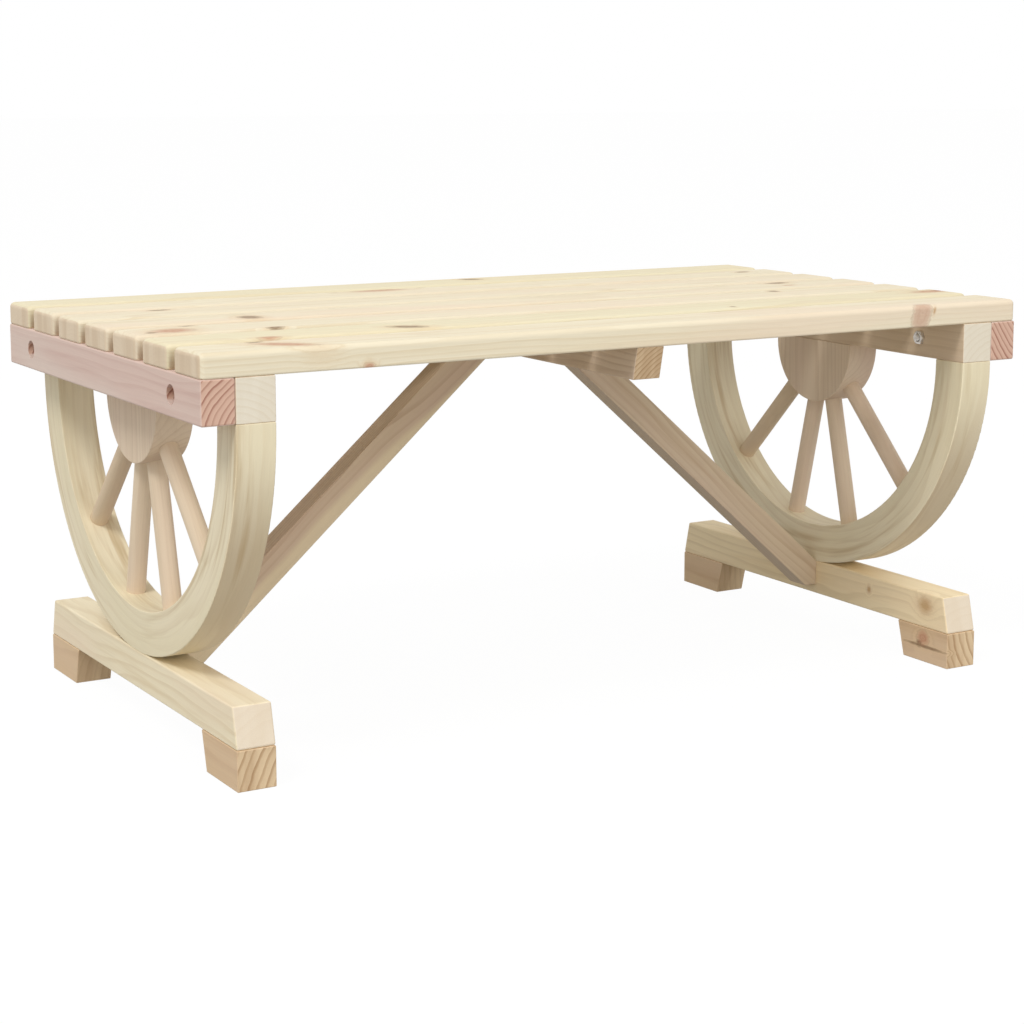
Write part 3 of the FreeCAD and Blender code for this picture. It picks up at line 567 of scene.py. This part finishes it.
BOLT_RADIUS = 0.004
BOLT_ROOT_RADIUS = 0.85 * BOLT_RADIUS
BOLT_LENGTH = 0.061
BOLT_HEAD_RADIUS = 0.0065
BOLT_HEAD_HEIGHT = 0.006
BOLT_HEAD_PROFILE = ((0.82, 0), (0.9, 0.0001), (1, 0.0008))
BOLT_HEAD_EASE = 0.0004
BOLT_SOCKET = 0.006
BOLT_SOCKET_CORNERS = 6
BOLT_THREAD_LENGTH = 0.022
BOLT_THREAD_PITCH = 0.00125
BOLT_THREAD_MARGIN = 0.0002
BOLT_RUN_OUT = 0.0008
BOLT_END_DRAW_IN = 0.0008
BOLT_END_SLOPE = 0.0003

NUT_ACROSS_FLATS = 0.013
NUT_SIDES = 6
NUT_HEIGHT = 0.004
NUT_HOLE_RADIUS = 0.0042
NUT_HOLE_EASE = 0.0004
NUT_FACE_RADIUS = 0.96 * NUT_ACROSS_FLATS / 2
NUT_CHAMFER = math.radians(30)

WASHER_RADIUS = 0.008
WASHER_THICKNESS = 0.0016
WASHER_EASE = 0.0002

SCREW_STEPS = 24
SCREW_HEAD_RADIUS = 0.00425
SCREW_HEAD_HEIGHT = 0.003
SCREW_HEAD_PROFILE = ((0.72, 0), (0.9, 0.0003), (1, 0.0011))
SCREW_RADIUS = 0.00225
SCREW_NECK_RADIUS = 0.95 * SCREW_RADIUS
SCREW_NECK_END = 0.008
SCREW_ROOT_RADIUS = 0.7 * SCREW_RADIUS
SCREW_THREAD_START = 0.0085
SCREW_THREAD_PITCH = 0.0022
SCREW_POINT_LENGTH = 0.006
SCREW_SOCKET_RADIUS = 0.55 * SCREW_HEAD_RADIUS
SCREW_SOCKET_CORNERS = 12
SCREW_SOCKET_DEPTH = 0.0016
SCREW_SOCKET_STAR = 0.72
FOOT_SCREW_GAP = 0.025


def lathe(profile, steps, closed=False):
    """A turned piece: a profile of radius and height pairs, spun about Z."""
    mesh = bmesh.new()
    points = [mesh.verts.new((radius, 0, height)) for radius, height in profile]
    edges = [mesh.edges.new(pair) for pair in zip(points, points[1:])]
    if closed:
        edges.append(mesh.edges.new((points[-1], points[0])))
    bmesh.ops.spin(mesh, geom=points + edges, cent=(0, 0, 0), axis=UPRIGHT, angle=2 * math.pi, steps=steps,
                   use_merge=True)
    bmesh.ops.remove_doubles(mesh, verts=mesh.verts, dist=MERGE_DISTANCE)
    bmesh.ops.recalc_face_normals(mesh, faces=mesh.faces)
    return mesh


def add_thread(mesh, crest, root, pitch, start, end):
    """Wind a sharp thread round a shank."""
    turns = (end - start) / pitch - 1
    steps = round(turns * THREAD_STEPS)
    foot = root - THREAD_SINK
    corners = [(foot, start), (crest, start + pitch * THREAD_CREST), (foot, start + pitch * THREAD_WIDTH)]
    points = [mesh.verts.new((radius, 0, height)) for radius, height in corners]
    ridge = [mesh.edges.new(pair) for pair in zip(points, points[1:] + points[:1])]
    wound = bmesh.ops.spin(mesh, geom=points + ridge, cent=(0, 0, 0), axis=UPRIGHT,
                           dvec=UPRIGHT * (turns * pitch / steps), angle=2 * math.pi * turns, steps=steps)
    last = [part for part in wound["geom_last"] if isinstance(part, bmesh.types.BMEdge)]
    bmesh.ops.contextual_create(mesh, geom=ridge)
    bmesh.ops.contextual_create(mesh, geom=last)
    bmesh.ops.recalc_face_normals(mesh, faces=mesh.faces)


def sink_socket(mesh, radius, steps, corners, depth, star=1):
    """Sink a drive socket into the open face at the origin: a hexagon, or a star with drawn-in sides."""
    rim = [edge for edge in mesh.edges if edge.is_boundary]
    ring = bmesh.ops.create_circle(mesh, segments=corners, radius=radius)["verts"]
    for number, corner in enumerate(ring):
        if number % 2:
            corner.co *= star
    sides = list({edge for corner in ring for edge in corner.link_edges})
    bmesh.ops.subdivide_edges(mesh, edges=sides, cuts=steps // corners - 1)
    mouth = [edge for edge in mesh.edges if not edge.link_faces]
    bmesh.ops.bridge_loops(mesh, edges=rim + mouth)
    walls = bmesh.ops.extrude_edge_only(mesh, edges=mouth)["geom"]
    floor = [part for part in walls if isinstance(part, bmesh.types.BMVert)]
    bmesh.ops.translate(mesh, vec=UPRIGHT * depth, verts=floor)
    bmesh.ops.contextual_create(mesh, geom=[edge for edge in mesh.edges if edge.is_boundary])
    bmesh.ops.recalc_face_normals(mesh, faces=mesh.faces)


def make_screw(length):
    """A pan head wood screw along +Z from the face of its head, with a star drive, a thread and a point."""
    head, neck, root = SCREW_HEAD_RADIUS, SCREW_NECK_RADIUS, SCREW_ROOT_RADIUS
    tip = length - SCREW_POINT_LENGTH
    face = [(head * share, height) for share, height in SCREW_HEAD_PROFILE]
    mesh = lathe((*face, (head, SCREW_HEAD_HEIGHT), (neck, SCREW_HEAD_HEIGHT), (neck, SCREW_NECK_END),
                  (root, SCREW_THREAD_START), (root, tip), (0, length)), SCREW_STEPS)
    sink_socket(mesh, SCREW_SOCKET_RADIUS, SCREW_STEPS, SCREW_SOCKET_CORNERS, SCREW_SOCKET_DEPTH,
                SCREW_SOCKET_STAR)
    add_thread(mesh, SCREW_RADIUS, root, SCREW_THREAD_PITCH, SCREW_THREAD_START, tip)
    return mesh


def make_bolt():
    """A socket head bolt along +Z from the face of its head, threaded towards its end."""
    head, seat, end = BOLT_HEAD_RADIUS, BOLT_HEAD_HEIGHT, BOLT_LENGTH
    shank, root = BOLT_RADIUS, BOLT_ROOT_RADIUS
    thread_start = end - BOLT_THREAD_LENGTH
    face = [(head * share, height) for share, height in BOLT_HEAD_PROFILE]
    mesh = lathe((*face, (head, seat - BOLT_HEAD_EASE), (head - BOLT_HEAD_EASE, seat), (shank, seat),
                  (shank, thread_start - BOLT_RUN_OUT), (root, thread_start), (root, end - BOLT_END_SLOPE),
                  (root - BOLT_END_DRAW_IN, end), (0, end)), ROUND_STEPS)
    sink_socket(mesh, BOLT_SOCKET / math.sqrt(3), ROUND_STEPS, BOLT_SOCKET_CORNERS, seat / 2)
    add_thread(mesh, shank, root, BOLT_THREAD_PITCH, thread_start, end - BOLT_THREAD_MARGIN)
    return mesh


def make_nut():
    """A thin hexagon nut standing on the XY plane, turned with chamfers and then cut to its six flats."""
    corner = NUT_ACROSS_FLATS / math.sqrt(3)
    flat, hole, top = NUT_ACROSS_FLATS / 2, NUT_HOLE_RADIUS, NUT_HEIGHT
    face, mouth = NUT_FACE_RADIUS, hole + NUT_HOLE_EASE
    slope = (corner - face) * math.tan(NUT_CHAMFER)
    mesh = lathe(((mouth, 0), (face, 0), (corner, slope), (corner, top - slope), (face, top), (mouth, top),
                  (hole, top - NUT_HOLE_EASE), (hole, NUT_HOLE_EASE)), 2 * ROUND_STEPS, closed=True)
    for number in range(NUT_SIDES):
        angle = 2 * math.pi * number / NUT_SIDES
        way = Vector((math.cos(angle), math.sin(angle), 0))
        parts = list(mesh.verts) + list(mesh.edges) + list(mesh.faces)
        cut = bmesh.ops.bisect_plane(mesh, geom=parts, plane_co=way * flat, plane_no=way, clear_outer=True)
        edges = [part for part in cut["geom_cut"] if isinstance(part, bmesh.types.BMEdge)]
        bmesh.ops.contextual_create(mesh, geom=edges)
    bmesh.ops.recalc_face_normals(mesh, faces=mesh.faces)
    return mesh


def make_washer():
    """A flat washer with softened edges, standing on the XY plane."""
    edge, hole, top, ease = WASHER_RADIUS, NUT_HOLE_RADIUS, WASHER_THICKNESS, WASHER_EASE
    return lathe(((hole, ease), (hole + ease, 0), (edge - ease, 0), (edge, ease), (edge, top - ease),
                  (edge - ease, top), (hole + ease, top), (hole, top - ease)), ROUND_STEPS, closed=True)


def set_fasteners(node, fastener, spots, zinc):
    """One piece for a group of equal fasteners, each set at its spot and turned its way."""
    whole = bmesh.new()
    single = bpy.data.meshes.new("fastener")
    for place, way in spots:
        copy = fastener.copy()
        turn = UPRIGHT.rotation_difference(Vector(way)).to_matrix().to_4x4()
        bmesh.ops.transform(copy, matrix=Matrix.Translation(place) @ turn, verts=copy.verts)
        copy.to_mesh(single)
        copy.free()
        whole.from_mesh(single)
    bpy.data.meshes.remove(single)
    data = bpy.data.meshes.new(f"{node}_detail")
    whole.to_mesh(data)
    whole.free()
    fastener.free()
    data.shade_smooth()
    data.set_sharp_from_angle(angle=SHARP_ANGLE)
    data.materials.append(zinc)
    piece = bpy.data.objects.new(f"{node}_detail", data)
    bpy.context.scene.collection.objects.link(piece)
    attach(piece, "root")
    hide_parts(node)


def outer_lines(node, radius):
    """The outermost middle lines of a group of fasteners, along X and Y, and its lowest and highest point."""
    low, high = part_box(node)
    xs, ys = [sorted({round(low[axis] + radius, 5), round(high[axis] - radius, 5)}) for axis in (0, 1)]
    return xs, ys, low.z, high.z


def set_screws(zinc):
    """Every group of screws: their heads are underneath, but those in the crossbars are on top."""
    slat_lines = [middle(f"top_slat_{number}").y for number in range(1, SLAT_COUNT + 1)]
    for node in ("end_rail_screws", "middle_rail_screws", "rim_screws", "hub_screws", "beam_screws",
                 "foot_screws", "brace_screws"):
        xs, ys, bottom, top = outer_lines(node, SCREW_HEAD_RADIUS)
        if node in ("end_rail_screws", "middle_rail_screws"):
            ys = slat_lines
        if node == "foot_screws":
            ys = (ys[0], ys[0] + FOOT_SCREW_GAP, ys[1] - FOOT_SCREW_GAP, ys[1])
        down = node in ("rim_screws", "hub_screws")
        start, way = (top, -UPRIGHT) if down else (bottom, UPRIGHT)
        spots = [(Vector((x, y, start)), way) for x in xs for y in ys]
        set_fasteners(node, make_screw(top - bottom), spots, zinc)


def set_bolts(zinc):
    """Bolts in the bores of the end rails, with a washer under each head and a thin nut on each end."""
    _, lines, bottom, top = outer_lines("frame_bolts", BOLT_HEAD_RADIUS)
    level = (bottom + top) / 2
    bolts, washers, nuts = [], [], []
    for end, side in ENDS.items():
        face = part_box("frame_bolts")[0 if side < 0 else 1].x
        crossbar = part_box(f"{end}_crossbar")[1 if side < 0 else 0].x
        inward = ALONG * -side
        for y in lines:
            bolts.append((Vector((face, y, level)), inward))
            washers.append((Vector((face - side * BOLT_HEAD_HEIGHT, y, level)), inward))
            nuts.append((Vector((crossbar, y, level)), inward))
    set_fasteners("frame_bolts", make_bolt(), bolts, zinc)
    set_fasteners("bolt_washers", make_washer(), washers, zinc)
    set_fasteners("frame_nuts", make_nut(), nuts, zinc)


WHITE = (1, 1, 1, 1)
FLOOR_HALF = 30
FLOOR_PAINT = tone(180, 179, 178)
FLOOR_SHOWN_WHITE = 0.9
FLOOR_GLOW = 1.07
SKY_LIGHT = 0.68
Softbox = namedtuple("Softbox", "place target width power")
SOFTBOXES = {"key_softbox": Softbox((-4.6, -2.5, 6.7), (0, 0, 0.3), 2.4, 272),
             "front_softbox": Softbox((0.3, -3.9, 1.3), (0, 0, 0.25), 2.4, 38)}


def background_rays(nodes):
    """1 on the rays that show the background: from the camera, or by way of gloss or glass."""
    rays = [nodes.node("ShaderNodeLightPath", {}, {}, f"Is {kind} Ray")
            for kind in ("Camera", "Glossy", "Transmission")]
    return nodes.math("MAXIMUM", rays[0], nodes.math("MAXIMUM", rays[1], rays[2]))


def make_floor():
    """A wide pale floor, shown nearly white, that keeps the table's shadow."""
    bpy.ops.mesh.primitive_plane_add(size=2 * FLOOR_HALF)
    floor = bpy.context.object
    floor.name = "studio_floor"
    material = bpy.data.materials.new("studio_floor")
    nodes = Nodes(material)
    paint = nodes.node("ShaderNodeBsdfDiffuse", {}, {"Color": FLOOR_PAINT})
    white = nodes.node("ShaderNodeEmission", {}, {"Color": WHITE, "Strength": FLOOR_GLOW})
    share = background_rays(nodes) * FLOOR_SHOWN_WHITE
    shader = nodes.node("ShaderNodeMixShader", {}, {0: share, 1: paint, 2: white})
    nodes.node("ShaderNodeOutputMaterial", {}, {"Surface": shader})
    floor.data.materials.append(material)


def make_sky():
    """Even studio light from all round, shown as white."""
    world = bpy.data.worlds.new("studio_sky")
    bpy.context.scene.world = world
    nodes = Nodes(world)
    light = nodes.node("ShaderNodeBackground", {}, {"Color": WHITE, "Strength": SKY_LIGHT})
    white = nodes.node("ShaderNodeBackground", {}, {"Color": WHITE, "Strength": 1})
    shader = nodes.node("ShaderNodeMixShader", {}, {0: background_rays(nodes), 1: light, 2: white})
    nodes.node("ShaderNodeOutputWorld", {}, {"Surface": shader})


def make_softboxes():
    """Square soft lights that face the table."""
    for name, box in SOFTBOXES.items():
        lamp = bpy.data.lights.new(name, "AREA")
        lamp.shape = "SQUARE"
        lamp.size = box.width
        lamp.energy = box.power
        softbox = bpy.data.objects.new(name, lamp)
        softbox.location = box.place
        way = Vector(box.target) - Vector(box.place)
        softbox.rotation_euler = way.to_track_quat("-Z", "Y").to_euler()
        bpy.context.scene.collection.objects.link(softbox)


CAMERA_PLACE = (-1.1545, -1.9558, 0.6120)
CAMERA_PITCH = math.radians(8.522)
CAMERA_HEADING = math.radians(-30.477)
CAMERA_LENS = 78.39
CAMERA_SENSOR = 36
CAMERA_SHIFT = -0.0996


def make_camera():
    """The photograph's view from the front left, a little above the top."""
    lens = bpy.data.cameras.new("camera")
    lens.sensor_width = CAMERA_SENSOR
    lens.lens = CAMERA_LENS
    lens.shift_y = CAMERA_SHIFT
    camera = bpy.data.objects.new("camera", lens)
    camera.location = CAMERA_PLACE
    camera.rotation_euler = (math.pi / 2 - CAMERA_PITCH, 0, CAMERA_HEADING)
    bpy.context.scene.collection.objects.link(camera)
    bpy.context.scene.camera = camera


dress_top()
for end_name in ENDS:
    dress_end(end_name)
dress_middle()
zinc = zinc_plate()
set_screws(zinc)
set_bolts(zinc)
make_floor()
make_sky()
make_softboxes()
make_camera()
bpy.context.scene.view_settings.view_transform = "Standard"
